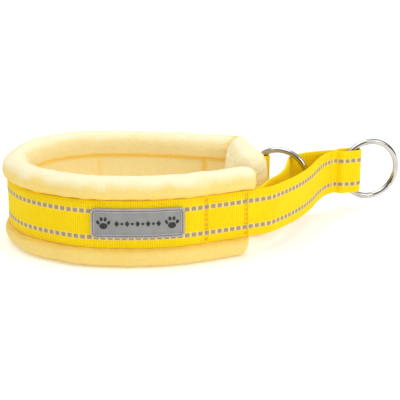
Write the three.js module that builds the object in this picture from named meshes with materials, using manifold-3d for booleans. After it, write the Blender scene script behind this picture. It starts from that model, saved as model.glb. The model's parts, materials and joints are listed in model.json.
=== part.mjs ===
// Martingale (half-check) dog collar: a padded fleece band with ribbed webbing sewn round it, a webbing
// control loop at its front end, and two welded O-rings. Millimetres, +Z up, front of the collar towards -Y.
// The padded band is one soft strip that bends at its left-hand end. It is made as a front and a rear half.
import * as THREE from 'three';
import { mergeVertices } from 'three/addons/utils/BufferGeometryUtils.js';
import Module from 'manifold-3d';

const wasm = await Module();
wasm.setup();

// Driving dimensions
const bandHeight = 56;
const rollRadius = 8.5; // the fat rolled edges of the sleeve
const webbingWidth = 30;
const webbingThick = 2;
const webbingInside = 4; // webbing's inner face, outward of the band's centreline
const panelInside = -5.5; // sleeve's neck-side face between its rolls
const sleeveWall = 2.5;
const gap = 0.3; // clearance between neighbouring pieces
const foamSlack = 1; // foam strip's clearance inside the sleeve
const ringBore = 35;
const ringWire = 4;
const labelLength = 56;
const labelHeight = 18.5;
const labelThick = 1.6;
const threadThick = 0.4;
const threadWidth = 0.7;

// Derived levels and offsets
const middle = bandHeight / 2;
const webbingLow = middle - webbingWidth / 2;
const webbingHigh = middle + webbingWidth / 2;
const webbingOutside = webbingInside + webbingThick;
const panelOutside = webbingInside - gap;
const ringRadius = (ringBore + ringWire) / 2; // to the middle of the wire

// Lengths along the band's route, measured from the root of the control loop
const rootEnd = 1.6;
const paddedFrom = 9.5;
const seamPlaces = { root_seam_outer: 15.6, root_seam_inner: 42.5 };
const labelAt = 83;
const tabBeforeEnd = 67; // from where the webbing leaves the sleeve to the route's end
const routeStep = 7.5; // length of one facet along a sweep

// Plan of the band's centreline: control loop root, front run, left bend, rear run, rear end
const leftBend = new THREE.Vector2(-117, 58);
const bandPlan = [
  [41, 31.2], [34, 28], [26, 24.3], [14, 19], [2, 14.2], [-11, 9.1], [-28, 5.9], [-44, 5.2], [-60, 6.2],
  [-73, 9], [-91, 17.5], [-104, 27], [-112, 38.5], [-116, 48], [leftBend.x, leftBend.y], [-116, 68],
  [-111.5, 82], [-103, 93.5], [-91, 101.5], [-74, 107], [-47, 108.3], [-20, 105.5], [0, 101.5], [14, 98.4],
  [21.8, 94], [27.2, 86], [30.2, 76], [32.8, 62], [35, 42],
];

// Plans of the loop's two straps (centrelines) and the places where webbing folds are sewn
const outerStrapPlan = [[43.9, 27.8], [52, 37.1], [63.4, 52.9], [72.5, 70.4], [78.7, 86.3], [84.6, 98], [89.6, 104.2]];
const innerStrapPlan = [
  [44.9, 32.6], [48, 44.5], [55.2, 66], [58, 80], [59.6, 89], [63, 95.6], [69, 100.1], [76, 103.6], [88.6, 107.7],
];
const tabRunOut = [[20, 102.3], [27, 100.5]];
const leashFold = { x: 92, y: 106.6, heading: 14 * Math.PI / 180 };
const slideFold = { x: 28.6, y: 100, heading: -18 * Math.PI / 180 };
const foldToRing = 26; // from a fold's seam to the middle of its ring

function levelCurve(plan) {
  const curve = new THREE.CatmullRomCurve3(plan.map(([x, y]) => new THREE.Vector3(x, y, 0)));
  curve.arcLengthDivisions = 1000;
  return curve;
}

// The part of a curve that lies between two lengths along it
class Stretch extends THREE.Curve {
  constructor(whole, from, to) {
    super();
    this.whole = whole;
    this.from = from;
    this.to = to;
  }

  getPoint(t, target = new THREE.Vector3()) {
    const along = THREE.MathUtils.lerp(this.from, this.to, t);
    return this.whole.getPointAt(along / this.whole.getLength(), target);
  }
}

const bandRoute = levelCurve(bandPlan);
const paddedTo = bandRoute.getLength();
const tabLeavesAt = paddedTo - tabBeforeEnd;

// Length along the band's route at the middle of the left-hand bend
function bendLength() {
  const count = 4000;
  const spots = bandRoute.getSpacedPoints(count);
  const nearest = spots.reduce((best, spot, i) => {
    const away = Math.hypot(spot.x - leftBend.x, spot.y - leftBend.y);
    return away < best.away ? { away, i } : best;
  }, { away: Infinity, i: 0 });
  return nearest.i / count * bandRoute.getLength();
}

const bendAt = bendLength();

// A section's points are [outward, up]
function sweep(section, path) {
  const shape = new THREE.Shape(section.map(([outward, up]) => new THREE.Vector2(-up, outward)));
  const steps = Math.ceil(path.getLength() / routeStep);
  return new THREE.ExtrudeGeometry(shape, { steps, bevelEnabled: false, extrudePath: path });
}

function rectangle(near, far, low, high) {
  return [[near, low], [far, low], [far, high], [near, high]];
}

// Points [outward, up] of an arc between two angles in degrees
function arc(centreUp, radius, from, to, segments) {
  return Array.from({ length: segments + 1 }, (_, i) => {
    const angle = THREE.MathUtils.degToRad(THREE.MathUtils.lerp(from, to, i / segments));
    return [radius * Math.cos(angle), centreUp + radius * Math.sin(angle)];
  });
}

// The band's section, drawn in by an inset: a roll at each edge, with a thinner panel between them.
// Each roll is flattened over 30 degrees where it meets the level that the collar stands on.
// Facets counts the flats of a roll on its neck side and on its outer side.
function bandSection(inset, facets) {
  const radius = rollRadius - inset;
  const rise = rollRadius * Math.cos(Math.PI / 12);
  const outside = panelOutside - inset;
  const inside = panelInside + inset;
  const notch = middle - webbingLow + gap - inset;
  const notchAngle = THREE.MathUtils.radToDeg(Math.asin(Math.min(0.95, (middle - rise - notch) / radius)));
  const creaseAngle = THREE.MathUtils.radToDeg(Math.acos(inside / radius));
  const lower = [
    ...arc(rise, radius, creaseAngle, 255, facets.neckSide),
    ...arc(rise, radius, 285, 360 + notchAngle, facets.outerSide),
    [outside, middle - notch],
  ];
  const upper = lower.map(([outward, up]) => [outward, bandHeight - up]).reverse();
  return [...lower, ...upper];
}

function solidOf(geometry) {
  const bare = geometry.clone();
  bare.deleteAttribute('normal');
  bare.deleteAttribute('uv');
  const merged = mergeVertices(bare, 1e-4);
  return new wasm.Manifold(new wasm.Mesh({
    numProp: 3,
    vertProperties: merged.attributes.position.array,
    triVerts: new Uint32Array(merged.index.array),
  }));
}

function geometryOf(solid) {
  const { numProp, vertProperties, triVerts } = solid.getMesh();
  const geometry = new THREE.BufferGeometry();
  const places = new THREE.BufferAttribute(new Float32Array(vertProperties), numProp);
  geometry.setAttribute('position', places);
  geometry.setIndex(new THREE.BufferAttribute(new Uint32Array(triVerts), 1));
  return geometry;
}

// Plan points beside the band's route
function besideBand(outward, from, to) {
  const count = Math.ceil((to - from) / routeStep);
  return Array.from({ length: count + 1 }, (_, i) => {
    const along = THREE.MathUtils.lerp(from, to, i / count) / bandRoute.getLength();
    const spot = bandRoute.getPointAt(along);
    const heading = bandRoute.getTangentAt(along);
    return [spot.x - heading.y * outward, spot.y + heading.x * outward];
  });
}

const materials = {
  foam: { color: 0xf2efe6, roughness: 0.95, metalness: 0 },
  fleece: { color: 0xfbe7a4, roughness: 0.95, metalness: 0 },
  webbing: { color: 0xffd500, roughness: 0.7, metalness: 0 },
  thread: { color: 0xf6c800, roughness: 0.6, metalness: 0 },
  label: { color: 0x9a9aa0, roughness: 0.55, metalness: 0 },
  labelThread: { color: 0x2a2a2c, roughness: 0.6, metalness: 0 },
  steel: { color: 0xc9c9cb, roughness: 0.2, metalness: 1 },
};

const collar = new THREE.Group();

function addPiece(name, geometry, finish) {
  const mesh = new THREE.Mesh(geometry, new THREE.MeshStandardMaterial(materials[finish]));
  mesh.name = name;
  collar.add(mesh);
  return mesh;
}

// Foam strip inside a sleeve that is closed at the band's end and open at the bend
function addPaddedHalf(side, closedEnd, bendEnd) {
  const inward = Math.sign(bendEnd - closedEnd);
  const span = (from, to) => new Stretch(bandRoute, Math.min(from, to), Math.max(from, to));
  const smooth = { neckSide: 5, outerSide: 4 };
  const plain = { neckSide: 3, outerSide: 2 };
  const whole = solidOf(sweep(bandSection(0, smooth), span(closedEnd, bendEnd)));
  const hollowSpan = span(closedEnd + inward * sleeveWall, bendEnd + inward * 4);
  const hollow = solidOf(sweep(bandSection(sleeveWall, plain), hollowSpan));
  addPiece(`${side}_fleece_cover`, geometryOf(whole.subtract(hollow)), 'fleece');
  const foamInset = sleeveWall + foamSlack;
  const foamSpan = span(closedEnd + inward * foamInset, bendEnd);
  addPiece(`${side}_foam_core`, sweep(bandSection(foamInset, plain), foamSpan), 'foam');
}

function addWebbingHalf(side, plan) {
  const section = rectangle(-webbingThick / 2, webbingThick / 2, webbingLow, webbingHigh);
  addPiece(`${side}_webbing`, sweep(section, levelCurve(plan)), 'webbing');
}

// One line of thread along each long edge of the webbing
function addEdgeStitching(side, from, to) {
  const near = webbingOutside + gap;
  const lines = { upper: webbingHigh - 2, lower: webbingLow + 2 };
  for (const [edge, up] of Object.entries(lines)) {
    const section = rectangle(near, near + threadThick, up - threadWidth / 2, up + threadWidth / 2);
    addPiece(`${side}_${edge}_stitching`, sweep(section, new Stretch(bandRoute, from, to)), 'thread');
  }
}

// A line of thread across the webbing
function crossSeamSection(near) {
  return rectangle(near, near + threadThick, webbingLow + 3, webbingHigh - 3);
}

// A block of a rounded rectangle's shape that stands across the front of the band
function labelBlock(inset) {
  const spot = bandRoute.getPointAt(labelAt / bandRoute.getLength());
  const halfLength = labelLength / 2 - inset;
  const halfHeight = labelHeight / 2 - inset;
  const corner = 3 - inset;
  const shape = new THREE.Shape();
  shape.absarc(halfLength - corner, halfHeight - corner, corner, 0, Math.PI / 2);
  shape.absarc(corner - halfLength, halfHeight - corner, corner, Math.PI / 2, Math.PI);
  shape.absarc(corner - halfLength, corner - halfHeight, corner, Math.PI, 1.5 * Math.PI);
  shape.absarc(halfLength - corner, corner - halfHeight, corner, 1.5 * Math.PI, 2 * Math.PI);
  const block = new THREE.ExtrudeGeometry(shape, { depth: 60, bevelEnabled: false, curveSegments: 4 });
  block.rotateX(Math.PI / 2);
  block.translate(spot.x, 30, middle + 1.2);
  return solidOf(block);
}

function addLabel() {
  const run = new Stretch(bandRoute, labelAt - labelLength, labelAt + labelLength);
  const near = webbingOutside + gap;
  const far = near + labelThick;
  const slab = solidOf(sweep(rectangle(near, far, webbingLow, webbingHigh), run));
  addPiece('label_patch', geometryOf(slab.intersect(labelBlock(0))), 'label');
  const film = solidOf(sweep(rectangle(far + gap, far + gap + threadThick, webbingLow, webbingHigh), run));
  const line = film.intersect(labelBlock(1.3)).subtract(labelBlock(2));
  addPiece('label_stitching', geometryOf(line), 'labelThread');
}

// Webbing folded back on itself round a ring's wire: two layers that part for the wire and meet at the seam
function foldGeometry() {
  const inner = ringWire / 2 + 2 * gap;
  const outer = inner + webbingThick;
  const from = 1.5;
  const parted = 4.6;
  // The wire's near side, where it passes the webbing's two edges, clears the fold by the gap
  const crest = foldToRing - Math.sqrt((ringBore / 2) ** 2 - (webbingWidth / 2) ** 2) + gap - inner;
  const shape = new THREE.Shape();
  shape.moveTo(from, gap);
  shape.lineTo(from, gap + webbingThick);
  shape.lineTo(parted, outer);
  shape.absarc(crest, 0, outer, Math.PI / 2, -Math.PI / 2, true);
  shape.lineTo(parted, -outer);
  shape.lineTo(from, -gap - webbingThick);
  shape.lineTo(from, -gap);
  shape.lineTo(parted, -inner);
  shape.absarc(crest, 0, inner, -Math.PI / 2, Math.PI / 2, false);
  shape.lineTo(parted, inner);
  return new THREE.ExtrudeGeometry(shape, { depth: webbingWidth, bevelEnabled: false, curveSegments: 6 });
}

function ringGeometry() {
  const sides = 8;
  const profile = Array.from({ length: sides + 1 }, (_, i) => {
    const angle = (i % sides) / sides * 2 * Math.PI;
    return new THREE.Vector2(ringRadius + ringWire / 2 * Math.cos(angle), ringWire / 2 * Math.sin(angle));
  });
  return new THREE.LatheGeometry(profile, 28);
}

function addFoldAndRing(foldName, ringName, place) {
  const fold = addPiece(foldName, foldGeometry(), 'webbing');
  fold.position.set(place.x, place.y, webbingLow);
  fold.rotation.z = place.heading;
  const ring = addPiece(ringName, ringGeometry(), 'steel');
  ring.rotation.z = place.heading;
  const ringX = place.x + foldToRing * Math.cos(place.heading);
  const ringY = place.y + foldToRing * Math.sin(place.heading);
  ring.position.set(ringX, ringY, middle);
}

function addStrap(name, plan) {
  const section = rectangle(-webbingThick / 2, webbingThick / 2, webbingLow, webbingHigh);
  addPiece(name, sweep(section, levelCurve(plan)), 'webbing');
}

const webbingMiddle = webbingInside + webbingThick / 2;
addPaddedHalf('front', paddedFrom, bendAt - gap);
addPaddedHalf('rear', paddedTo, bendAt + gap);
addWebbingHalf('front', besideBand(webbingMiddle, rootEnd, bendAt - gap));
addWebbingHalf('rear', [...besideBand(webbingMiddle, bendAt + gap, tabLeavesAt), ...tabRunOut]);
addEdgeStitching('front', rootEnd + 4, bendAt - gap);
addEdgeStitching('rear', bendAt + gap, tabLeavesAt);
for (const [name, along] of Object.entries(seamPlaces)) {
  const run = new Stretch(bandRoute, along, along + threadWidth);
  addPiece(name, sweep(crossSeamSection(webbingOutside + gap), run), 'thread');
}
addLabel();
addStrap('loop_outer_strap', outerStrapPlan);
addStrap('loop_inner_strap', innerStrapPlan);
addFoldAndRing('leash_ring_sleeve', 'leash_ring', leashFold);
addFoldAndRing('slide_ring_tab', 'slide_ring', slideFold);
const outerStrap = levelCurve(outerStrapPlan);
const sleeveSeamRun = new Stretch(outerStrap, outerStrap.getLength() - 2.5, outerStrap.getLength() - 1.8);
const strapFace = -webbingThick / 2 - gap;
addPiece('sleeve_seam', sweep(crossSeamSection(strapFace - threadThick), sleeveSeamRun), 'thread');
const tabRun = levelCurve(tabRunOut);
const tabSeamRun = new Stretch(tabRun, tabRun.getLength() - 2.5, tabRun.getLength() - 1.8);
addPiece('tab_seam', sweep(crossSeamSection(-strapFace), tabSeamRun), 'thread');

// The origin is the middle of the footprint, on the level that the collar stands on
const box = new THREE.Box3().setFromObject(collar);
collar.position.set(-(box.min.x + box.max.x) / 2, -(box.min.y + box.max.y) / 2, -box.min.z);

export default collar;
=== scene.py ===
import bisect
import json
import math

import bmesh
import bpy
from mathutils import Matrix, Vector, noise
from mathutils.geometry import interpolate_bezier
from mathutils.kdtree import KDTree


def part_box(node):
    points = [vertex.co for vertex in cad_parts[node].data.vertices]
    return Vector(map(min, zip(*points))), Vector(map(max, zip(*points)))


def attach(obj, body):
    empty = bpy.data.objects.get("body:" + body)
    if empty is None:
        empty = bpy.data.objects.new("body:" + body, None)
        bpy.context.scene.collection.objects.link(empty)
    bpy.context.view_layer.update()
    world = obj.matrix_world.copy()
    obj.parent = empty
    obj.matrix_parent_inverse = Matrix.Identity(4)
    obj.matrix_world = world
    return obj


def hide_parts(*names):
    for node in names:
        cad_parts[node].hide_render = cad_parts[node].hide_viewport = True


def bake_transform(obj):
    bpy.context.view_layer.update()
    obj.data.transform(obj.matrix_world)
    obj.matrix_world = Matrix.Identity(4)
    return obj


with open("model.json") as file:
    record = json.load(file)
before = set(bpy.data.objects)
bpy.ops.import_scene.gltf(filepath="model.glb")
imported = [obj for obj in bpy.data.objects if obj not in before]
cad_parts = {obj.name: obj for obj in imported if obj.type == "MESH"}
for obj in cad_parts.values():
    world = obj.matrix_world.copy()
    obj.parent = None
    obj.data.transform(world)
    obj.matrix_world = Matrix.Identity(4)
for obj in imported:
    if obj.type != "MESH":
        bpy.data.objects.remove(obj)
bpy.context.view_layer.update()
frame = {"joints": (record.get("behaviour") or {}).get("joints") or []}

mm = 0.001
joints = {joint["name"]: Vector(joint["pos_m"]) for joint in frame["joints"]}


# ---- the collar's plan, in millimetres, laid on the frame by the root of the control loop

plan = {
    "loopRoot": (42.5, 26.6),
    "middle": 28.0,  # height of the webbing's centre line
    "band": [
        (41, 31.2), (34, 28), (26, 24.3), (14, 19), (2, 14.2), (-11, 9.1), (-28, 5.9), (-44, 5.2),
        (-60, 6.2), (-73, 9), (-91, 17.5), (-104, 27), (-112, 38.5), (-116, 48), (-117, 58), (-116, 68),
        (-111.5, 82), (-103, 93.5), (-91, 101.5), (-74, 107), (-47, 108.3), (-20, 105.5), (0, 101.5),
        (15, 98.3), (23.2, 95), (28.2, 87.5), (30.2, 76), (32, 62), (33.4, 49),
    ],
    "outerStrap": [
        (43.9, 27.8), (52, 37.1), (63.4, 52.9), (72.5, 70.4), (78.7, 86.3), (84.6, 98), (89.6, 104.2),
    ],
    "innerStrap": [
        (33.6, 25.4), (37.6, 28.2), (40.4, 34.6), (44.6, 43.6), (50.6, 53.4), (55.2, 66), (58, 80),
        (59.6, 89), (63, 95.6), (69, 100.1), (76, 103.6), (88.6, 107.7),
    ],
    "leashFold": [(89.6, 104.2)],
    "leashFoldBack": [(88.6, 107.7)],
    "tabRunOut": [(20, 102.3), (27, 100.5)],
    "leashHeading": 14.0,  # degrees, the way each ring's fold points
    "slideHeading": -18.0,
}
planOrigin = joints["loop_swing"] - Vector((*plan["loopRoot"], plan["middle"])) * mm


class Route:
    # a level smooth line through plan points, measured in metres along it
    def __init__(self, points):
        knots = [planOrigin + Vector((x, y, 0)) * mm for x, y in points]
        knots = [2 * knots[0] - knots[1], *knots, 2 * knots[-1] - knots[-2]]
        self.spots = []
        for p0, p1, p2, p3 in zip(knots, knots[1:], knots[2:], knots[3:]):
            d0, d1, d2 = (math.sqrt((b - a).length) for a, b in ((p0, p1), (p1, p2), (p2, p3)))
            out = ((p1 - p0) / d0 - (p2 - p0) / (d0 + d1) + (p2 - p1) / d1) * d1
            into = ((p2 - p1) / d1 - (p3 - p1) / (d1 + d2) + (p3 - p2) / d2) * d1
            self.spots += interpolate_bezier(p1, p1 + out / 3, p2 - into / 3, p2, 60)[:-1]
        self.spots.append(knots[-2])
        self.marks = [0.0]
        for a, b in zip(self.spots, self.spots[1:]):
            self.marks.append(self.marks[-1] + (b - a).length)
        self.length = self.marks[-1]

    def spot(self, along):
        i = min(max(bisect.bisect_right(self.marks, along) - 1, 0), len(self.marks) - 2)
        share = (along - self.marks[i]) / (self.marks[i + 1] - self.marks[i])
        return self.spots[i].lerp(self.spots[i + 1], share)

    def outward(self, along):
        step = 0.6 * mm
        heading = (self.spot(along + step) - self.spot(along - step)).normalized()
        return Vector((-heading.y, heading.x, 0))

    def place(self, along, out, up):
        return self.spot(along) + self.outward(along) * out + Vector((0, 0, up))


bandRoute = Route(plan["band"])


def smoothStep(low, high, value):
    share = min(max((value - low) / (high - low), 0.0), 1.0)
    return share * share * (3 - 2 * share)


# ---- mesh helpers

def finishMesh(bm, name, material, smooth=True):
    mesh = bpy.data.meshes.new(name)
    bm.to_mesh(mesh)
    bm.free()
    piece = bpy.data.objects.new(name, mesh)
    bpy.context.scene.collection.objects.link(piece)
    mesh.materials.append(material)
    mesh.polygons.foreach_set("use_smooth", [smooth] * len(mesh.polygons))
    return piece


# a flat sheet whose corners run 0 to 1 both ways, wrapped to its shape by place(along, round)
def wrapSheet(countAlong, countRound, place):
    bm = bmesh.new()
    bm.loops.layers.uv.new("UVMap")
    bmesh.ops.create_grid(bm, x_segments=countAlong, y_segments=countRound, size=0.5, calc_uvs=True)
    for vert in bm.verts:
        vert.co = place(vert.co.x + 0.5, vert.co.y + 0.5)
    bmesh.ops.remove_doubles(bm, verts=bm.verts, dist=1e-7)
    return bm


def closeAndTurnOut(bm):
    rims = [edge for edge in bm.edges if edge.is_boundary]
    if rims:
        bmesh.ops.holes_fill(bm, edges=rims, sides=0)
    bmesh.ops.recalc_face_normals(bm, faces=bm.faces)


def appliedMesh(piece):
    graph = bpy.context.evaluated_depsgraph_get()
    made = bpy.data.meshes.new_from_object(piece.evaluated_get(graph), depsgraph=graph)
    piece.modifiers.clear()
    piece.data = made
    return piece


# ---- node helpers

def socket(nodeTree, value, target):
    if hasattr(value, "is_output"):
        nodeTree.links.new(value, target)
    else:
        target.default_value = value


def addMath(tree, operation, *inputs, clamp=False):
    node = tree.nodes.new("ShaderNodeMath")
    node.operation = operation
    node.use_clamp = clamp
    for value, target in zip(inputs, node.inputs):
        socket(tree, value, target)
    return node.outputs[0]


def addNoise(tree, vector, scale, detail=2.0, roughness=0.5):
    node = tree.nodes.new("ShaderNodeTexNoise")
    tree.links.new(vector, node.inputs["Vector"])
    node.inputs["Scale"].default_value = scale
    node.inputs["Detail"].default_value = detail
    node.inputs["Roughness"].default_value = roughness
    return node.outputs["Fac"]


def addMix(tree, share, first, second, blend="MIX"):
    node = tree.nodes.new("ShaderNodeMix")
    node.data_type = "RGBA"
    node.blend_type = blend
    node.clamp_factor = True
    socket(tree, share, node.inputs["Factor"])
    socket(tree, first, node.inputs["A"])
    socket(tree, second, node.inputs["B"])
    return node.outputs["Result"]


def addRange(tree, value, low, high, outLow=0.0, outHigh=1.0):
    node = tree.nodes.new("ShaderNodeMapRange")
    node.interpolation_type = "SMOOTHSTEP"
    for value, target in zip((value, low, high, outLow, outHigh), node.inputs):
        socket(tree, value, target)
    return node.outputs[0]


def addBump(tree, height, strength, distance, normal=None):
    node = tree.nodes.new("ShaderNodeBump")
    node.inputs["Strength"].default_value = strength
    node.inputs["Distance"].default_value = distance
    tree.links.new(height, node.inputs["Height"])
    if normal:
        tree.links.new(normal, node.inputs["Normal"])
    return node.outputs["Normal"]


def newMaterial(name, **constants):
    material = bpy.data.materials.new(name)
    material.use_nodes = True
    shader = material.node_tree.nodes["Principled BSDF"]
    for key, value in constants.items():
        shader.inputs[key.replace("_", " ")].default_value = value
    return material, material.node_tree, shader


def newGroup(name, inputs, outputs):
    group = bpy.data.node_groups.new(name, "ShaderNodeTree")
    for label, kind, value in inputs:
        made = group.interface.new_socket(label, in_out="INPUT", socket_type=kind)
        if value is not None:
            made.default_value = value
    for label, kind in outputs:
        group.interface.new_socket(label, in_out="OUTPUT", socket_type=kind)
    return group, group.nodes.new("NodeGroupInput"), group.nodes.new("NodeGroupOutput")


def useGroup(tree, group, **values):
    node = tree.nodes.new("ShaderNodeGroup")
    node.node_tree = group
    for label, value in values.items():
        socket(tree, value, node.inputs[label])
    return node


# fine fibres: a colour that varies a little and a height for bump, on the piece's own coordinates
def makeFibreGroup():
    group, given, result = newGroup(
        "fibres",
        [("Colour", "NodeSocketColor", None), ("Dark", "NodeSocketColor", None),
         ("Grain", "NodeSocketFloat", 900.0), ("Spread", "NodeSocketFloat", 0.4)],
        [("Colour", "NodeSocketColor"), ("Height", "NodeSocketFloat")],
    )
    spot = group.nodes.new("ShaderNodeTexCoord").outputs["Object"]
    fine = group.nodes.new("ShaderNodeTexNoise")
    group.links.new(spot, fine.inputs["Vector"])
    group.links.new(given.outputs["Grain"], fine.inputs["Scale"])
    fine.inputs["Detail"].default_value = 4.0
    broad = addNoise(group, spot, 45.0, 3.0)
    share = addRange(group, fine.outputs["Fac"], 0.35, 0.7)
    share = addMath(group, "MULTIPLY", share, given.outputs["Spread"])
    patches = addMath(group, "MULTIPLY", addRange(group, broad, 0.4, 0.75), 0.25)
    share = addMath(group, "ADD", share, patches)
    colour = addMix(group, share, given.outputs["Colour"], given.outputs["Dark"])
    group.links.new(colour, result.inputs["Colour"])
    group.links.new(fine.outputs["Fac"], result.inputs["Height"])
    return group


fibres = makeFibreGroup()


# ---- materials

# the palest colour here is painted highlight, laid on the roll tops, the inside of the sleeve and the top
# of the cushioned end
fleeceLook = {
    "light": (0.98, 0.77, 0.26, 1), "dark": (0.95, 0.65, 0.15, 1), "paintedHighlight": (0.98, 0.91, 0.62, 1),
    # the crease colour is painted shade, a deeper orange for creases and for the strip along the webbing's
    # edges
    "crease": (1.0, 0.60, 0.02, 1), "grain": 1700.0, "tufts": 380.0,
}


def makeFleeceMaterial():
    look = fleeceLook
    material, tree, shader = newMaterial(
        "plushFleece", Roughness=0.95, Sheen_Weight=0.25, Sheen_Roughness=0.45,
        Sheen_Tint=(1, 0.94, 0.7, 1), Specular_IOR_Level=0.1,
    )
    pile = useGroup(tree, fibres, Colour=look["light"], Dark=look["dark"], Grain=look["grain"], Spread=0.6)
    # painted highlight: a per-point attribute mixes in the pale colour where light from above and in front
    # falls
    paintedHighlight = tree.nodes.new("ShaderNodeAttribute")
    paintedHighlight.attribute_name = "paintedHighlight"
    # painted shade: a per-point attribute mixes in the deeper orange crease colour
    fold = tree.nodes.new("ShaderNodeAttribute")
    fold.attribute_name = "fold"
    colour = addMix(tree, paintedHighlight.outputs["Fac"], pile.outputs["Colour"], look["paintedHighlight"])
    colour = addMix(tree, fold.outputs["Fac"], colour, look["crease"])
    tree.links.new(colour, shader.inputs["Base Color"])
    spot = tree.nodes.new("ShaderNodeTexCoord").outputs["Object"]
    tufts = addMath(tree, "MULTIPLY", addNoise(tree, spot, look["tufts"], 3.0), 1.6)
    height = addMath(tree, "ADD", pile.outputs["Height"], tufts)
    tree.links.new(addBump(tree, height, 0.75, 0.0006), shader.inputs["Normal"])
    return material


# the dark colour serves both as the yarn's random darker tone and as painted shade in the grooves between
# the ribs
webbingLook = {
    "light": (0.99, 0.77, 0.001, 1), "dark": (0.88, 0.50, 0.0, 1), "stripe": (0.90, 0.70, 0.17, 1),
    "dash": (0.39, 0.30, 0.22, 1), "ribPitch": 1.4, "weftPitch": 0.7, "stripeAt": 8.25,
    "stripeHalf": 1.55, "dashHalf": 1.25, "dashPitch": 4.2, "dashShare": 0.66, "ribHeight": 0.24,
    "dashHeight": 0.2, "softEdge": 0.12,
}


def makeWebbingMaterial():
    look = webbingLook
    material, tree, shader = newMaterial(
        "ribbedWebbing", Sheen_Weight=0.02, Sheen_Roughness=0.5, Specular_IOR_Level=0.12
    )
    flat = tree.nodes.new("ShaderNodeUVMap")
    flat.uv_map = "UVMap"
    split = tree.nodes.new("ShaderNodeSeparateXYZ")
    tree.links.new(flat.outputs["UV"], split.inputs[0])
    along, across = split.outputs["X"], split.outputs["Y"]
    yarn = useGroup(tree, fibres, Colour=look["light"], Dark=look["dark"], Grain=1500.0, Spread=0.3)
    ribTurn = addMath(tree, "MULTIPLY", along, math.pi / look["ribPitch"])
    rib = addMath(tree, "ABSOLUTE", addMath(tree, "COSINE", ribTurn))
    grooveShade = addRange(tree, rib, 0.0, 0.55, 1.0, 0.0)
    weftTurn = addMath(tree, "MULTIPLY", across, math.pi / look["weftPitch"])
    weft = addMath(tree, "ABSOLUTE", addMath(tree, "SINE", weftTurn))
    # painted shade: the grooves between the ribs are darkened towards the dark colour
    body = addMix(tree, addMath(tree, "MULTIPLY", grooveShade, 0.85), yarn.outputs["Colour"], look["dark"])
    away = addMath(tree, "SUBTRACT", addMath(tree, "ABSOLUTE", across), look["stripeAt"])
    away = addMath(tree, "ABSOLUTE", away)
    soft = look["softEdge"]
    inStripe = addRange(tree, away, look["stripeHalf"] - soft, look["stripeHalf"] + soft, 1.0, 0.0)
    phase = addMath(tree, "FRACT", addMath(tree, "DIVIDE", along, look["dashPitch"]))
    fromMiddle = addMath(tree, "ABSOLUTE", addMath(tree, "SUBTRACT", phase, 0.5))
    half = look["dashShare"] / 2
    inDash = addRange(tree, away, look["dashHalf"] - soft, look["dashHalf"] + soft, 1.0, 0.0)
    lengthways = addRange(tree, fromMiddle, half - 0.03, half + 0.03, 1.0, 0.0)
    inDash = addMath(tree, "MULTIPLY", inDash, lengthways)
    colour = addMix(tree, inStripe, body, look["stripe"])
    colour = addMix(tree, inDash, colour, look["dash"])
    tree.links.new(colour, shader.inputs["Base Color"])
    tree.links.new(addRange(tree, inDash, 0.0, 1.0, 0.62, 0.34), shader.inputs["Roughness"])
    height = addMath(tree, "ADD", yarn.outputs["Height"], addMath(tree, "MULTIPLY", weft, 0.6))
    tree.links.new(addBump(tree, height, 0.5, 0.0002), shader.inputs["Normal"])
    return material


def makeThreadMaterial(name, light, dark):
    material, tree, shader = newMaterial(name, Roughness=0.55, Sheen_Weight=0.2, Specular_IOR_Level=0.4)
    twist = useGroup(tree, fibres, Colour=light, Dark=dark, Grain=2600.0, Spread=0.5)
    tree.links.new(twist.outputs["Colour"], shader.inputs["Base Color"])
    tree.links.new(addBump(tree, twist.outputs["Height"], 0.5, 0.0001), shader.inputs["Normal"])
    return material


def makeLabelMaterial(name, light, dark):
    material, tree, shader = newMaterial(name, Specular_IOR_Level=0.45)
    spot = tree.nodes.new("ShaderNodeTexCoord").outputs["Object"]
    rub = addRange(tree, addNoise(tree, spot, 160.0, 3.0), 0.35, 0.7)
    tree.links.new(addMix(tree, rub, light, dark), shader.inputs["Base Color"])
    tree.links.new(addRange(tree, rub, 0.0, 1.0, 0.42, 0.56), shader.inputs["Roughness"])
    tree.links.new(addBump(tree, addNoise(tree, spot, 2200.0), 0.25, 0.00015), shader.inputs["Normal"])
    return material


inkLook = {"fresh": (0.012, 0.012, 0.014, 1), "worn": (0.05, 0.05, 0.052, 1)}


def makeInkMaterial():
    material, tree, shader = newMaterial("blackPrint", Specular_IOR_Level=0.4)
    spot = tree.nodes.new("ShaderNodeTexCoord").outputs["Object"]
    worn = addRange(tree, addNoise(tree, spot, 900.0, 4.0), 0.45, 0.75)
    tree.links.new(addMix(tree, worn, inkLook["fresh"], inkLook["worn"]), shader.inputs["Base Color"])
    tree.links.new(addRange(tree, worn, 0.0, 1.0, 0.38, 0.6), shader.inputs["Roughness"])
    return material


steelLook = {"bright": (0.61, 0.59, 0.55, 1), "dull": (0.50, 0.48, 0.445, 1)}


def makeSteelMaterial():
    material, tree, shader = newMaterial("polishedSteel", Metallic=1.0)
    spot = tree.nodes.new("ShaderNodeTexCoord").outputs["Object"]
    cloud = addRange(tree, addNoise(tree, spot, 120.0, 4.0), 0.35, 0.75)
    tree.links.new(addMix(tree, cloud, steelLook["bright"], steelLook["dull"]), shader.inputs["Base Color"])
    tree.links.new(addRange(tree, cloud, 0.0, 1.0, 0.10, 0.22), shader.inputs["Roughness"])
    tree.links.new(addBump(tree, addNoise(tree, spot, 700.0, 3.0), 0.06, 0.0002), shader.inputs["Normal"])
    return material


foamLook = {"pore": (0.70, 0.66, 0.55, 1), "wall": (0.88, 0.86, 0.80, 1)}


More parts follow.
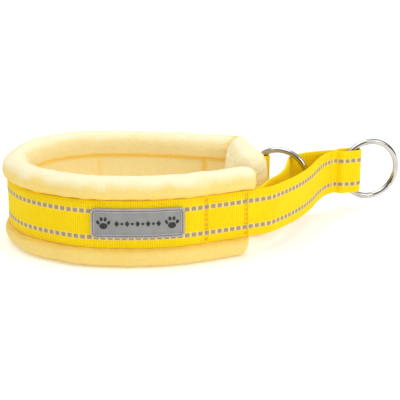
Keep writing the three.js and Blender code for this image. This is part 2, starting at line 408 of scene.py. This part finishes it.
def makeFoamMaterial():
    material, tree, shader = newMaterial("openFoam", Roughness=0.9, Specular_IOR_Level=0.2)
    spot = tree.nodes.new("ShaderNodeTexCoord").outputs["Object"]
    cells = addNoise(tree, spot, 1500.0, 2.0)
    pore = addRange(tree, cells, 0.4, 0.6)
    tree.links.new(addMix(tree, pore, foamLook["pore"], foamLook["wall"]), shader.inputs["Base Color"])
    tree.links.new(addBump(tree, cells, 0.8, 0.0004), shader.inputs["Normal"])
    return material


fleeceMaterial = makeFleeceMaterial()
webbingMaterial = makeWebbingMaterial()
threadMaterial = makeThreadMaterial("yellowThread", (0.97, 0.66, 0.0, 1), (0.84, 0.46, 0.0, 1))
# the cross seams' thread is orange, made deeper than the yellow thread as painted shade for the hollow the
# seam pulls into the webbing
seamThreadMaterial = makeThreadMaterial("orangeThread", (0.92, 0.46, 0.0, 1), (0.76, 0.32, 0.0, 1))
darkThreadMaterial = makeThreadMaterial("darkThread", (0.02, 0.02, 0.022, 1), (0.05, 0.05, 0.055, 1))
labelMaterial = makeLabelMaterial("softRubber", (0.27, 0.275, 0.265, 1), (0.31, 0.315, 0.305, 1))
borderMaterial = makeLabelMaterial("rubberBorder", (0.40, 0.375, 0.37, 1), (0.46, 0.43, 0.425, 1))
inkMaterial = makeInkMaterial()
steelMaterial = makeSteelMaterial()
foamMaterial = makeFoamMaterial()
print("stage: materials")


# ---- padded sleeve and the foam inside it

sleeve = {
    "from": 9.5, "rollRadius": 8.5, "height": 56.0, "outerPanel": 3.5, "innerPanel": -5.4,
    "webbingHalf": 15.2, "stationSpacing": 3.8, "swell": 4.0, "cap": 1.3, "shrink": -0.5,
    "frontTip": 9.0, "frontLow": 0.80, "frontSlant": 3.6, "rearTip": 12.0, "rearLow": 0.66,
    "pileHeight": 0.07, "pucker": 0.12,
    "softFolds": ((-69.0, 0.35), (3.0, 0.9)),  # plan X and depth of creases across the rear wall's inside
}
foam = {"inset": 3.2, "short": 4.0, "stationSpacing": 6.0}
webbingLeaves = 346.5 * mm  # where the webbing comes out of the sleeve towards the slide ring
rollSteps = 12  # round each roll

# the rear end has no webbing sewn through it, so it fills out like a small cushion
lump = {
    "from": 352.0, "full": 374.0, "inside": 12.2, "outside": 5.0, "bulge": 6.4, "bulgeFrom": 371.0,
    "bulgeTo": 390.0, "halfHeight": 27.8, "crest": 2.6, "crestReach": 10.0, "corner": 361.0,
    "pinch": 2.4, "lean": 2.6, "squareOut": 0.66, "squareIn": 0.56, "squareUp": 0.72,
}


def polar(radius, angle, centre):
    return radius * math.cos(angle), centre + radius * math.sin(angle)


# the sewn section's points (outward, up), anticlockwise from the webbing's upper edge
def sleeveSection(inset):
    radius = sleeve["rollRadius"] - inset
    centre = sleeve["height"] - sleeve["rollRadius"]
    middle = sleeve["height"] / 2
    notch = sleeve["webbingHalf"] - inset
    outside = sleeve["outerPanel"] - inset
    inside = sleeve["innerPanel"] + inset
    start = math.asin(max(-0.95, (middle + notch - centre) / radius))
    end = math.pi * 2 - math.acos(inside / radius)
    upper = [polar(radius, start + (end - start) * i / rollSteps, centre) for i in range(rollSteps + 1)]
    lower = [(out, sleeve["height"] - up) for out, up in reversed(upper)]
    crease = upper[-1][1]
    inner = [(inside, crease + (sleeve["height"] - 2 * crease) * i / 6) for i in range(1, 6)]
    outer = [(outside, middle - notch + 2 * notch * i / 6) for i in range(7)]
    return upper + inner + lower + outer


# the same point where the sleeve is a plump cushion, highest at the corner and widest near its end
def plumpPoint(along, out, up, inset):
    turn = math.atan2((up - sleeve["height"] / 2) / lump["lean"], out)
    outside = lump["outside"] + lump["bulge"] * smoothStep(lump["bulgeFrom"], lump["bulgeTo"], along)
    wide = (outside if math.cos(turn) > 0 else lump["inside"]) - inset
    square = lump["squareOut" if out > 0 else "squareIn"]
    across = math.copysign(abs(math.cos(turn)) ** square, math.cos(turn))
    high = math.copysign(abs(math.sin(turn)) ** lump["squareUp"], math.sin(turn))
    crest = 0
    if high > 0:
        crest = lump["crest"] * math.exp(-((along - lump["corner"]) / lump["crestReach"]) ** 2)
    return wide * across, sleeve["height"] / 2 + (lump["halfHeight"] + crest - inset) * high


# at its ends the sleeve narrows to a sewn edge: its thickness and height there, as shares
def tipShape(along, start, end):
    atFront = along - start < end - along
    reach = sleeve["frontTip" if atFront else "rearTip"] * mm
    share = min(max(min(along - start, end - along) / reach, 0.0), 1.0)
    lowest = sleeve["frontLow" if atFront else "rearLow"]
    thin = math.sqrt(max(0.0, 1 - (1 - share) ** 2.4))
    rounded = math.sqrt(max(0.0, 1 - (1 - share) ** 2))
    return thin, lowest + (1 - lowest) * rounded


def bandTube(inset, start, end, spacing):
    section = sleeveSection(inset)
    count = round((end - start) / (spacing * mm))
    middle = sleeve["height"] / 2

    def sectionPoint(i, along):
        out, up = section[i]
        plump = smoothStep(lump["from"], lump["full"], along / mm)
        plumpOut, plumpUp = plumpPoint(along / mm, out, up, inset)
        return out + (plumpOut - out) * plump, up + (plumpUp - up) * plump

    def place(share, turn):
        i = round(turn * len(section)) % len(section)
        along = start + (end - start) * (share - 0.012 * math.sin(2 * math.pi * share))
        out, up = sectionPoint(i, along)
        if share in (0.0, 1.0):  # the outer and inner faces meet on one sewn line
            out, up = 0.0, (up + sectionPoint(rollSteps - 1 - i, along)[1]) / 2
        slant = sleeve["frontSlant"] * mm * (1 - up / middle)
        along += slant * smoothStep(start + 16 * mm, start, along)
        if out < 0:
            out += lump["pinch"] * math.exp(-((along / mm - lump["corner"]) / 5) ** 2)
        thin, low = tipShape(start + (end - start) * share, start, end)
        return bandRoute.place(along, out * thin * mm, (middle + (up - middle) * low) * mm)

    return wrapSheet(count, len(section), place)


bandSteps = 1660
bandTree = KDTree(bandSteps + 1)
for i in range(bandSteps + 1):
    bandTree.insert(bandRoute.spot(bandRoute.length * i / bandSteps), i)
bandTree.balance()


# the place on the band's route nearest to a point: length along, outward and up, in metres
def bandAddress(point):
    spot, i, _ = bandTree.find((point.x, point.y, 0))
    along = bandRoute.length * i / bandSteps
    away = Vector((point.x, point.y, 0)) - Vector((*spot.xy, 0))
    return along, away.dot(bandRoute.outward(along)), point.z


# how deep in a crease across the inside of the rear wall a point is, from 0 to 1
def softFold(point, out, up):
    if out > 0 or point.y < 0 or abs(up - plan["middle"] * mm) > 13.5 * mm:
        return 0.0
    x = (point - planOrigin).x / mm
    return max(depth * smoothStep(3.4, 0.0, abs(x - place)) for place, depth in sleeve["softFolds"])


# sewn places stay still while the cloth swells: under the webbing and along the inner creases
def swellSleeve(piece):
    swellFrames = 20
    before = [vert.co.copy() for vert in piece.data.vertices]
    sewn = piece.vertex_groups.new(name="sewn")
    middle = plan["middle"] * mm
    for vert in piece.data.vertices:
        along, out, up = bandAddress(vert.co)
        stitched = along < lump["from"] * mm
        underWebbing = out > 1.5 * mm and abs(up - middle) < (sleeve["webbingHalf"] - 0.5) * mm
        creased = out < -3 * mm and abs(abs(up - middle) - 12.5 * mm) < 0.9 * mm
        if stitched and (underWebbing or creased or softFold(vert.co, out, up) > 0.3):
            sewn.add([vert.index], 1.0, "REPLACE")
    cloth = piece.modifiers.new("cloth", "CLOTH")
    cloth.settings.use_pressure = True
    cloth.settings.uniform_pressure_force = sleeve["swell"]
    cloth.settings.vertex_group_mass = "sewn"
    cloth.settings.effector_weights.gravity = 0
    cloth.settings.quality = 5
    cloth.point_cache.frame_start = 1
    cloth.point_cache.frame_end = swellFrames
    for step in range(1, swellFrames + 1):
        bpy.context.scene.frame_set(step)
    appliedMesh(piece)
    bpy.context.scene.frame_set(1)
    for vert, old in zip(piece.data.vertices, before):
        move = vert.co - old
        if move.length > sleeve["cap"] * mm:
            vert.co = old + move.normalized() * sleeve["cap"] * mm
    piece.vertex_groups.clear()


# creases, puckers along the webbing, softness and pile, with attributes of painted shade and painted
# highlight that the material reads
def shapePile(piece):
    middle = plan["middle"] * mm
    creaseShades, paintedHighlights = [], []
    normals = [vert.normal.copy() for vert in piece.data.vertices]
    for vert, normal in zip(piece.data.vertices, normals):
        along, out, up = bandAddress(vert.co)
        sewn = smoothStep(lump["full"] * mm, lump["from"] * mm, along)
        edge = abs(abs(up - middle) - sleeve["webbingHalf"] * mm)
        nearEdge = sewn * smoothStep(4 * mm, 0.5 * mm, edge) if out > 0 else 0.0
        crease = abs(abs(up - middle) - 12.9 * mm)
        nearCrease = sewn * smoothStep(2.4 * mm, 0.0, crease) if out < 0 else 0.0
        corner = math.exp(-((along / mm - lump["corner"]) / 2.2) ** 2) if out < 0 else 0.0
        crossing = softFold(vert.co, out, up) * sewn
        spot = vert.co / mm
        wave = math.sin(along / mm * 0.62 + 2.2 * noise.noise(spot * 0.06))
        soft = noise.noise(spot * 0.09) * 0.4 + noise.noise(spot * 0.28) * 0.18
        pile = (noise.noise(spot * 0.85) + noise.noise(spot * 1.9) * 0.6) * sleeve["pileHeight"]
        covered = out > 0 and sewn > 0.5 and abs(up - middle) < (sleeve["webbingHalf"] - 1) * mm
        lift = soft + pile + nearEdge * wave * sleeve["pucker"]
        lift = lift - 0.8 * nearCrease - crossing - 0.6 * corner
        vert.co += normal * (min(lift, 0.0) if covered else lift) * mm
        vert.co.z = max(vert.co.z, 0.1 * mm)  # flat where it stands
        # painted shade: creases, the folds across the inner wall, the cushion's inner corner and the strip
        # along the webbing's edges take the crease colour
        fold = max(0.8 * nearCrease, 0.75 * crossing, 0.6 * corner)
        creaseShades.append(min(1.0, fold + 0.45 * nearEdge))
        # painted highlight: paler towards the top of the upper roll, where light from above falls
        paintedHighlight = smoothStep(0.15, 1.0, (up / mm - 47.5) / 8.5 + 0.25 * noise.noise(spot * 0.1))
        if out < 0:
            paintedHighlight = max(paintedHighlight, 0.42)  # painted highlight: the inside is painted paler, where light from the front falls on it
        # painted highlight: the cushioned end is painted paler towards its top
        paintedHighlights.append(max(paintedHighlight, (1 - sewn) * smoothStep(14, 52, up / mm) * 0.85))
    for name, values in (("fold", creaseShades), ("paintedHighlight", paintedHighlights)):
        piece.data.attributes.new(name, "FLOAT", "POINT").data.foreach_set("value", values)


def finishPadding(piece, replaced):
    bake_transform(piece)
    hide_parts(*replaced)


def makeSleeve():
    bm = bandTube(sleeve["shrink"], sleeve["from"] * mm, bandRoute.length, sleeve["stationSpacing"])
    closeAndTurnOut(bm)
    piece = finishMesh(bm, "fleece_sleeve", fleeceMaterial)
    swellSleeve(piece)
    rounder = piece.modifiers.new("rounder", "SUBSURF")
    rounder.levels = rounder.render_levels = 2
    appliedMesh(piece)
    shapePile(piece)
    finishPadding(piece, ["front_fleece_cover", "rear_fleece_cover"])


def makeFoam():
    start = (sleeve["from"] + foam["short"]) * mm
    end = bandRoute.length - foam["short"] * mm
    bm = bandTube(foam["inset"], start, end, foam["stationSpacing"])
    closeAndTurnOut(bm)
    piece = finishMesh(bm, "foam_strip", foamMaterial)
    finishPadding(piece, ["front_foam_core", "rear_foam_core"])


makeSleeve()
makeFoam()
print("stage: padding")


# ---- webbing

webbing = {"half": 15.0, "thick": 2.0, "spacing": 0.3, "inside": 4.0, "rim": 0.5, "sink": 0.12}

# places across the width, in millimetres from the middle, with one beside each stripe's edges
facePlaces = [
    -15, -14.7, -14, -12, -10.1, -9.75, -6.75, -6.4, -3.2, 0,
    3.2, 6.4, 6.75, 9.75, 10.1, 12, 14, 14.7, 15,
]
backPlaces = [15, 14.7, 12, 6, 0, -6, -12, -14.7, -15]
plainFace = 100  # added to the width's coordinate where no stripes are woven


# height of the woven face above the webbing's mean face at a place, in millimetres
def weaveHeight(along, across, seams):
    look = webbingLook
    rib = abs(math.cos(math.pi * along / look["ribPitch"])) ** 0.6
    height = (rib - 0.6) * look["ribHeight"]
    height -= sum(0.35 * math.exp(-((along - seam) / 1.3) ** 2) for seam in seams)  # pulled in by sewing
    away = abs(abs(across) - look["stripeAt"])
    if away < look["stripeHalf"]:
        fromMiddle = abs((along / look["dashPitch"]) % 1 - 0.5) * look["dashPitch"]
        half = look["dashShare"] / 2 * look["dashPitch"]
        dash = smoothStep(half + 0.15, half - 0.15, fromMiddle)
        height = height * (1 - 0.85 * dash) + dash * look["dashHeight"] + 0.04
    return height


# webbing along a line: outSide is +1 where its striped face looks to the line's left, and patternFrom
# is how far along the weave's pattern it starts, in millimetres
def makeWebbing(name, line, outSide=1, stripes=True, patternFrom=0.0, seams=()):
    loop = [(across, 1) for across in facePlaces] + [(across, -1) for across in backPlaces]
    count = max(4, round(line.length / (webbing["spacing"] * mm)))
    middle = plan["middle"] * mm

    def place(share, turn):
        across, side = loop[round(turn * len(loop)) % len(loop)]
        along = line.length * share
        rim = smoothStep(webbing["half"], webbing["half"] - webbing["rim"], abs(across))
        thick = webbing["thick"] / 2 * (0.45 + 0.55 * rim)
        ribbed = across if (side == 1 and stripes) else 0.0
        thick += weaveHeight(patternFrom + along / mm, ribbed, seams) * rim - webbing["sink"]
        return line.place(along, side * outSide * thick * mm, middle + across * mm)

    bm = wrapSheet(count, len(loop), place)
    layer = bm.loops.layers.uv["UVMap"]
    for face in bm.faces:
        for corner in face.loops:
            flat = corner[layer].uv
            turn = flat.y * len(loop)
            lowPlace = math.floor(turn + 1e-4) % len(loop)
            across, side = loop[lowPlace]
            if not stripes or side == -1 or (lowPlace == 0 and turn > 1):
                across += plainFace
            corner[layer].uv = (patternFrom + flat.x * line.length / mm, across)
    closeAndTurnOut(bm)
    piece = finishMesh(bm, name, webbingMaterial)
    return piece


rootSeamAt = 15.6 * mm
rootSeams = (1.0, 27.6)  # on the band's webbing, in millimetres from its start


def makeBandWebbing():
    out = webbing["inside"] + webbing["thick"] / 2
    points = []
    steps = 60
    for i in range(steps + 1):
        along = rootSeamAt + (webbingLeaves - rootSeamAt) * i / steps
        spot = (bandRoute.place(along, out * mm, 0) - planOrigin) / mm
        points.append((spot.x, spot.y))
    line = Route(points + plan["tabRunOut"])
    piece = makeWebbing("band_webbing", line, seams=rootSeams)
    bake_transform(piece)
    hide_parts("front_webbing", "rear_webbing")


fold = {"half": 3.6, "crest": 14.69, "patternFrom": 108.0}


# out along one side, round the ring's wire and back along the other side
def foldRoute(seam, heading, lead, back):
    turn = Matrix.Rotation(math.radians(heading), 2)
    centre = Vector(((seam - planOrigin).x, (seam - planOrigin).y)) / mm
    half = fold["half"]
    local = [(1.2, -1.25), (4.6, -half), (9.5, -half)]
    for angle in (math.pi * i / 6 for i in range(7)):
        local.append((fold["crest"] + half * math.sin(angle), -half * math.cos(angle)))
    local += [(9.5, half), (4.6, half), (1.2, 1.25)]
    points = [tuple(centre + turn @ Vector(spot)) for spot in local]
    return Route([*lead, *points, *back])


def makeFolds():
    seam = joints["leash_ring_swing"]
    line = foldRoute(seam, plan["leashHeading"], plan["leashFold"], plan["leashFoldBack"])
    piece = makeWebbing("leash_ring_fold", line, outSide=-1, patternFrom=fold["patternFrom"])
    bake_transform(piece)
    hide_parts("leash_ring_sleeve")
    seam = joints["slide_ring_swing"]
    line = foldRoute(seam, plan["slideHeading"], [], [])
    piece = makeWebbing("slide_ring_fold", line, outSide=-1, stripes=False)
    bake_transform(piece)
    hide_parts("slide_ring_tab")


def makeStraps():
    lead = [(bandRoute.place(a * mm, 5.0 * mm, 0) - planOrigin) / mm for a in (15.6, 11.0, 6.5, 2.5)]
    line = Route([(spot.x, spot.y) for spot in lead] + plan["outerStrap"])
    piece = makeWebbing("loop_outer_run", line, outSide=-1)
    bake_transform(piece)
    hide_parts("loop_outer_strap")
    line = Route(plan["innerStrap"])
    piece = makeWebbing("loop_inner_run", line, stripes=False)
    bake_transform(piece)
    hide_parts("loop_inner_strap")


makeBandWebbing()
makeStraps()
makeFolds()
print("stage: webbing")


# ---- sewing

sewing = {"length": 2.3, "pitch": 3.1, "radius": 0.28, "edgeIn": 1.9}


quarterTurn = Matrix.Rotation(math.pi / 2, 4, "Y")


# one stitch: a short rounded thread lying along a direction
def addStitch(bm, spot, heading, outward, length, radius):
    side = heading.cross(outward)
    turn = Matrix((heading, side, outward)).transposed().to_4x4()
    shape = Matrix.Diagonal((length / 2 * mm, radius * mm, radius * 0.8 * mm, 1)) @ quarterTurn
    place = Matrix.Translation(spot) @ turn @ shape
    bmesh.ops.create_uvsphere(bm, u_segments=6, v_segments=5, radius=1.0, matrix=place)


def stitchBand(name, up, replaced):
    bm = bmesh.new()
    start = (sleeve["from"] - 2) * mm
    count = int((webbingLeaves - start) / (sewing["pitch"] * mm))
    for i in range(count):
        along = start + (i + 0.5) * sewing["pitch"] * mm
        outward = bandRoute.outward(along)
        heading = Vector((outward.y, -outward.x, 0))
        out = webbing["inside"] + webbing["thick"] - 0.02
        spot = bandRoute.place(along, out * mm, up * mm)
        addStitch(bm, spot, heading, outward, sewing["length"], sewing["radius"])
    piece = finishMesh(bm, name, threadMaterial)
    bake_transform(piece)
    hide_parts(*replaced)


def stitchAcross(name, line, along, out, body, node, rows=2):
    bm = bmesh.new()
    outward = line.outward(along) * (1 if out > 0 else -1)
    for row in range(rows):
        for i in range(9):
            up = plan["middle"] - 12.4 + 3.1 * i
            shift = (row - (rows - 1) / 2) * 1.5
            spot = line.place(along + shift * mm, out * mm, up * mm)
            addStitch(bm, spot, Vector((0, 0, 1)), outward, sewing["length"], sewing["radius"])
    piece = finishMesh(bm, name, seamThreadMaterial)
    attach(piece, body)
    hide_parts(node)


upperEdge = plan["middle"] + webbing["half"] - sewing["edgeIn"]
lowerEdge = plan["middle"] - webbing["half"] + sewing["edgeIn"]
stitchBand("upper_edge_sewing", upperEdge, ["front_upper_stitching", "rear_upper_stitching"])
stitchBand("lower_edge_sewing", lowerEdge, ["front_lower_stitching", "rear_lower_stitching"])
stitchAcross("root_sewing_outer", bandRoute, 16.6 * mm, 5.9, "front_band", "root_seam_outer")
stitchAcross("root_sewing_inner", bandRoute, 42.9 * mm, 5.9, "front_band", "root_seam_inner")
strapLine = Route(plan["outerStrap"])
foldSeamAt = strapLine.length - 1.6 * mm
stitchAcross("fold_sewing", strapLine, foldSeamAt, -0.98, "control_loop", "sleeve_seam", rows=1)
tabLine = Route(plan["tabRunOut"])
stitchAcross("tab_sewing", tabLine, tabLine.length - 1.6 * mm, 0.98, "rear_band", "tab_seam")
print("stage: sewing")


# ---- label patch

label = {
    "at": 83.0, "length": 56.0, "height": 18.5, "thick": 1.6, "corner": 3.0, "up": 29.2, "gap": 6.15,
    "border": 2.3, "sunk": 0.35, "line": 1.35,
}


def makeLabelLine():
    low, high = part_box("label_patch")
    spots = [bandRoute.place((label["at"] + i * 4) * mm, label["gap"] * mm, 0) for i in range(-9, 10)]
    line = Route([tuple((spot - planOrigin).xy / mm) for spot in spots])
    middleX = (low[0] + high[0]) / 2
    marks = [line.length * i / 400 for i in range(401)]
    return line, min(marks, key=lambda mark: abs(line.spot(mark).x - middleX))


labelLine, labelMiddle = makeLabelLine()


# lays a flat drawing (x to the right, y up, z out, in millimetres) on the front of the webbing
def layOnBand(bm, lift=0.0):
    for vert in bm.verts:
        x, y, z = vert.co
        vert.co = labelLine.place(labelMiddle - x * mm, (lift + z) * mm, (label["up"] + y) * mm)


def sliceAlong(bm, length, count):
    for i in range(1, count):
        x = -length / 2 + length * i / count
        geometry = bm.verts[:] + bm.edges[:] + bm.faces[:]
        bmesh.ops.bisect_plane(bm, geom=geometry, plane_co=(x, 0, 0), plane_no=(1, 0, 0), dist=1e-5)


def makeLabel():
    bm = bmesh.new()
    size = Matrix.Diagonal((label["length"], label["height"], label["thick"], 1))
    bmesh.ops.create_cube(bm, size=1.0, matrix=Matrix.Translation((0, 0, label["thick"] / 2)) @ size)
    upright = [e for e in bm.edges if abs(e.verts[0].co.z - e.verts[1].co.z) > 0.5]
    bmesh.ops.bevel(
        bm, geom=upright, offset=label["corner"], segments=8, profile=0.5, affect="EDGES", material=-1,
    )
    top = max(bm.faces, key=lambda f: f.calc_center_median().z)
    rim = list(top.edges)
    bmesh.ops.bevel(bm, geom=rim, offset=0.4, segments=3, profile=0.5, affect="EDGES", material=-1)
    top = max(bm.faces, key=lambda f: (round(f.calc_center_median().z, 4), f.calc_area()))
    bmesh.ops.inset_region(bm, faces=[top], thickness=label["border"] - 0.4, depth=0.0)
    for face in bm.faces:
        face.material_index = 1
    top.material_index = 0
    bmesh.ops.inset_region(bm, faces=[top], thickness=0.3, depth=-label["sunk"])
    sliceAlong(bm, label["length"] + 0.1, 28)
    layOnBand(bm)
    bmesh.ops.recalc_face_normals(bm, faces=bm.faces)
    piece = finishMesh(bm, "rubber_label", labelMaterial, smooth=False)
    piece.data.materials.append(borderMaterial)
    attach(piece, "front_band")
    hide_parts("label_patch")


def addDisc(bm, x, y, wide, high, turn=0.0, sides=20):
    shape = Matrix.Diagonal((wide, high, 1, 1))
    place = Matrix.Translation((x, y, 0)) @ Matrix.Rotation(turn, 4, "Z") @ shape
    made = bmesh.ops.create_circle(bm, cap_ends=True, segments=sides, radius=1.0, matrix=place)
    faces = list({face for vert in made["verts"] for face in vert.link_faces})
    raised = bmesh.ops.extrude_face_region(bm, geom=faces)
    for item in raised["geom"]:
        if isinstance(item, bmesh.types.BMVert):
            item.co.z += 0.22


def addPaw(bm, x, y, size):
    addDisc(bm, x, y - 0.30 * size, 0.46 * size, 0.36 * size)
    toes = ((-0.62, 0.12, 0.5), (-0.23, 0.52, 0.15), (0.23, 0.52, -0.15), (0.62, 0.12, -0.5))
    for side, rise, lean in toes:
        addDisc(bm, x + side * size, y + rise * size, 0.17 * size, 0.25 * size, lean)


# a generic paw print at each end and a row of plain marks between them
def makeMarks():
    bm = bmesh.new()
    for x in (-20.3, 20.3):
        addPaw(bm, x, 0, 5.2)
    for i in range(9):
        x = -12.4 + 3.1 * i
        if i % 2 == 0:
            addDisc(bm, x, 0, 1.4, 1.9, 0, sides=4)
        else:
            addDisc(bm, x, 0, 1.0, 1.0, math.pi / 4, sides=4)
    bmesh.ops.recalc_face_normals(bm, faces=bm.faces)
    layOnBand(bm, lift=label["thick"] - label["sunk"] - 0.02)
    piece = finishMesh(bm, "label_marks", inkMaterial, smooth=False)
    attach(piece, "front_band")


def roundedOutline(halfLength, halfHeight, corner, pitch):
    # evenly spaced (x, y, heading) round a rectangle with round corners
    spots = []
    for cx, cy, first in ((1, 1, 0), (-1, 1, 90), (-1, -1, 180), (1, -1, 270)):
        for i in range(9):
            angle = math.radians(first + 90 * i / 8)
            spots.append(Vector((
                cx * (halfLength - corner) + corner * math.cos(angle),
                cy * (halfHeight - corner) + corner * math.sin(angle),
            )))
    spots.append(spots[0])
    total = sum((b - a).length for a, b in zip(spots, spots[1:]))
    count = round(total / pitch)
    made = []
    reach, run = 0.0, 0.0
    for a, b in zip(spots, spots[1:]):
        span = (b - a).length
        while reach < run + span - 1e-6:
            made.append((a.lerp(b, (reach - run) / span), (b - a).normalized()))
            reach += total / count
        run += span
    return made


def sewLabel():
    bm = bmesh.new()
    inset = label["line"]
    outline = roundedOutline(
        label["length"] / 2 - inset, label["height"] / 2 - inset, label["corner"] - inset / 2, 1.75,
    )
    for spot, heading in outline:
        shape = Matrix.Diagonal((0.78, 0.26, 0.2, 1))
        angle = math.atan2(heading.y, heading.x)
        place = Matrix.Translation((spot.x, spot.y, 0)) @ Matrix.Rotation(angle, 4, "Z")
        place = place @ shape @ quarterTurn
        bmesh.ops.create_uvsphere(bm, u_segments=6, v_segments=5, radius=1.0, matrix=place)
    layOnBand(bm, lift=label["thick"] + 0.05)
    piece = finishMesh(bm, "label_sewing", darkThreadMaterial)
    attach(piece, "front_band")
    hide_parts("label_stitching")


makeLabel()
makeMarks()
sewLabel()
print("stage: label")


# ---- welded rings

ring = {"radius": 19.5, "wire": 2.0, "steps": 120, "sides": 20, "weld": 0.18}


def makeRing(name, node, heading, weldAngle):
    bm = bmesh.new()
    wire = Matrix.Translation((ring["radius"], 0, 0)) @ Matrix.Rotation(math.pi / 2, 4, "X")
    made = bmesh.ops.create_circle(bm, segments=ring["sides"], radius=ring["wire"], matrix=wire)
    edges = list({edge for vert in made["verts"] for edge in vert.link_edges})
    bmesh.ops.spin(
        bm, geom=made["verts"] + edges, cent=(0, 0, 0), axis=(0, 0, 1), angle=2 * math.pi,
        steps=ring["steps"], use_merge=True,
    )
    bmesh.ops.remove_doubles(bm, verts=bm.verts, dist=1e-5)
    for vert in bm.verts:
        angle = math.atan2(vert.co.y, vert.co.x)
        away = abs((angle - weldAngle + math.pi) % (2 * math.pi) - math.pi) * ring["radius"]
        centre = Vector((math.cos(angle), math.sin(angle), 0)) * ring["radius"]
        bead = ring["weld"] * math.exp(-(away / 1.1) ** 2)
        bead += 0.05 * noise.noise(vert.co * 1.5) * math.exp(-(away / 2.5) ** 2)
        vert.co = centre + (vert.co - centre) * (1 + bead / ring["wire"])
    bmesh.ops.recalc_face_normals(bm, faces=bm.faces)
    low, high = (Vector(corner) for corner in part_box(node))
    stand = Matrix.Rotation(math.radians(heading), 4, "Z") @ Matrix.Rotation(math.pi / 2, 4, "X")
    place = Matrix.Translation((low + high) / 2) @ stand @ Matrix.Scale(mm, 4)
    bmesh.ops.transform(bm, matrix=place, verts=bm.verts)
    piece = finishMesh(bm, name, steelMaterial)
    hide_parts(node)
    return piece


leashRing = makeRing("welded_leash_ring", "leash_ring", plan["leashHeading"], math.radians(-35))
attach(leashRing, "leash_ring_and_fold")
slideRing = makeRing("welded_slide_ring", "slide_ring", plan["slideHeading"], math.radians(150))
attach(slideRing, "slide_ring_and_tab")
print("stage: rings")


# ---- floor, light and camera

studio = {
    "floor": (0.92, 0.92, 0.92, 1), "world": 0.60, "key": 5.2, "fill": 2.3, "exposure": 0.0,
    "cameraPlan": (0.0, -615.7, 253.1), "pitch": 18.8, "lens": 99.0,
}


def makeFloor():
    bm = bmesh.new()
    bmesh.ops.create_grid(bm, x_segments=8, y_segments=8, size=6.0)
    material, tree, shader = newMaterial(
        "paleFloor", Roughness=0.9, Specular_IOR_Level=0.1, Emission_Strength=0.5,
    )
    spot = tree.nodes.new("ShaderNodeTexCoord").outputs["Object"]
    dust = addRange(tree, addNoise(tree, spot, 3.0, 3.0), 0.3, 0.7)
    tree.links.new(addMix(tree, dust, studio["floor"], (0.95, 0.95, 0.945, 1)), shader.inputs["Base Color"])
    # painted light: the floor glows, dim near the collar and full white farther out, lighting the collar
    # from below and paling the shadow on it
    reach = tree.nodes.new("ShaderNodeVectorMath")
    reach.operation = "LENGTH"
    tree.links.new(spot, reach.inputs[0])
    away = addRange(tree, reach.outputs["Value"], 0.25, 0.9)
    tree.links.new(addMix(tree, away, (0.44, 0.44, 0.44, 1), (1, 1, 1, 1)), shader.inputs["Emission Color"])
    finishMesh(bm, "studio_floor", material)


def addLight(name, place, target, size, power):
    lamp = bpy.data.lights.new(name, "AREA")
    lamp.shape = "RECTANGLE"
    lamp.size, lamp.size_y = size
    lamp.energy = power
    holder = bpy.data.objects.new(name, lamp)
    bpy.context.scene.collection.objects.link(holder)
    holder.location = place
    holder.rotation_euler = (Vector(target) - Vector(place)).to_track_quat("-Z", "Y").to_euler()


# white all round for the cloth; polished metal also sees a darker room with a bright ceiling
def makeWorld():
    world = bpy.data.worlds.new("studio")
    bpy.context.scene.world = world
    world.use_nodes = True
    tree = world.node_tree
    back = tree.nodes["Background"]
    spot = tree.nodes.new("ShaderNodeTexCoord").outputs["Generated"]
    split = tree.nodes.new("ShaderNodeSeparateXYZ")
    tree.links.new(spot, split.inputs[0])
    ceiling = addRange(tree, split.outputs["Z"], 0.45, 0.75)
    backdrop = addRange(tree, split.outputs["Y"], 0.25, 0.7)
    lit = addMath(tree, "MAXIMUM", ceiling, backdrop)
    room = addMix(tree, lit, (0.13, 0.123, 0.115, 1), (1.1, 1.08, 1.05, 1))
    seen = tree.nodes.new("ShaderNodeLightPath")
    tree.links.new(addMix(tree, seen.outputs["Is Glossy Ray"], (1, 1, 1, 1), room), back.inputs["Color"])
    strength = addMath(tree, "MAXIMUM", seen.outputs["Is Camera Ray"], studio["world"])
    tree.links.new(strength, back.inputs["Strength"])


def makeCamera():
    lens = bpy.data.cameras.new("camera")
    lens.sensor_width = 36.0
    lens.lens = studio["lens"]
    lens.clip_end = 50
    camera = bpy.data.objects.new("camera", lens)
    bpy.context.scene.collection.objects.link(camera)
    camera.location = planOrigin + Vector(studio["cameraPlan"]) * mm
    camera.rotation_euler = (math.radians(90 - studio["pitch"]), 0, 0)
    bpy.context.scene.camera = camera


makeFloor()
addLight("key", (-0.1, 0.05, 0.95), (0, 0, 0.0), (1.1, 0.8), studio["key"])
addLight("fill", (0.72, -0.42, 0.5), (0.03, 0.03, 0.03), (0.6, 0.5), studio["fill"])
makeWorld()
makeCamera()
bpy.context.scene.view_settings.view_transform = "Standard"
bpy.context.scene.view_settings.exposure = studio["exposure"]
print("stage: studio")
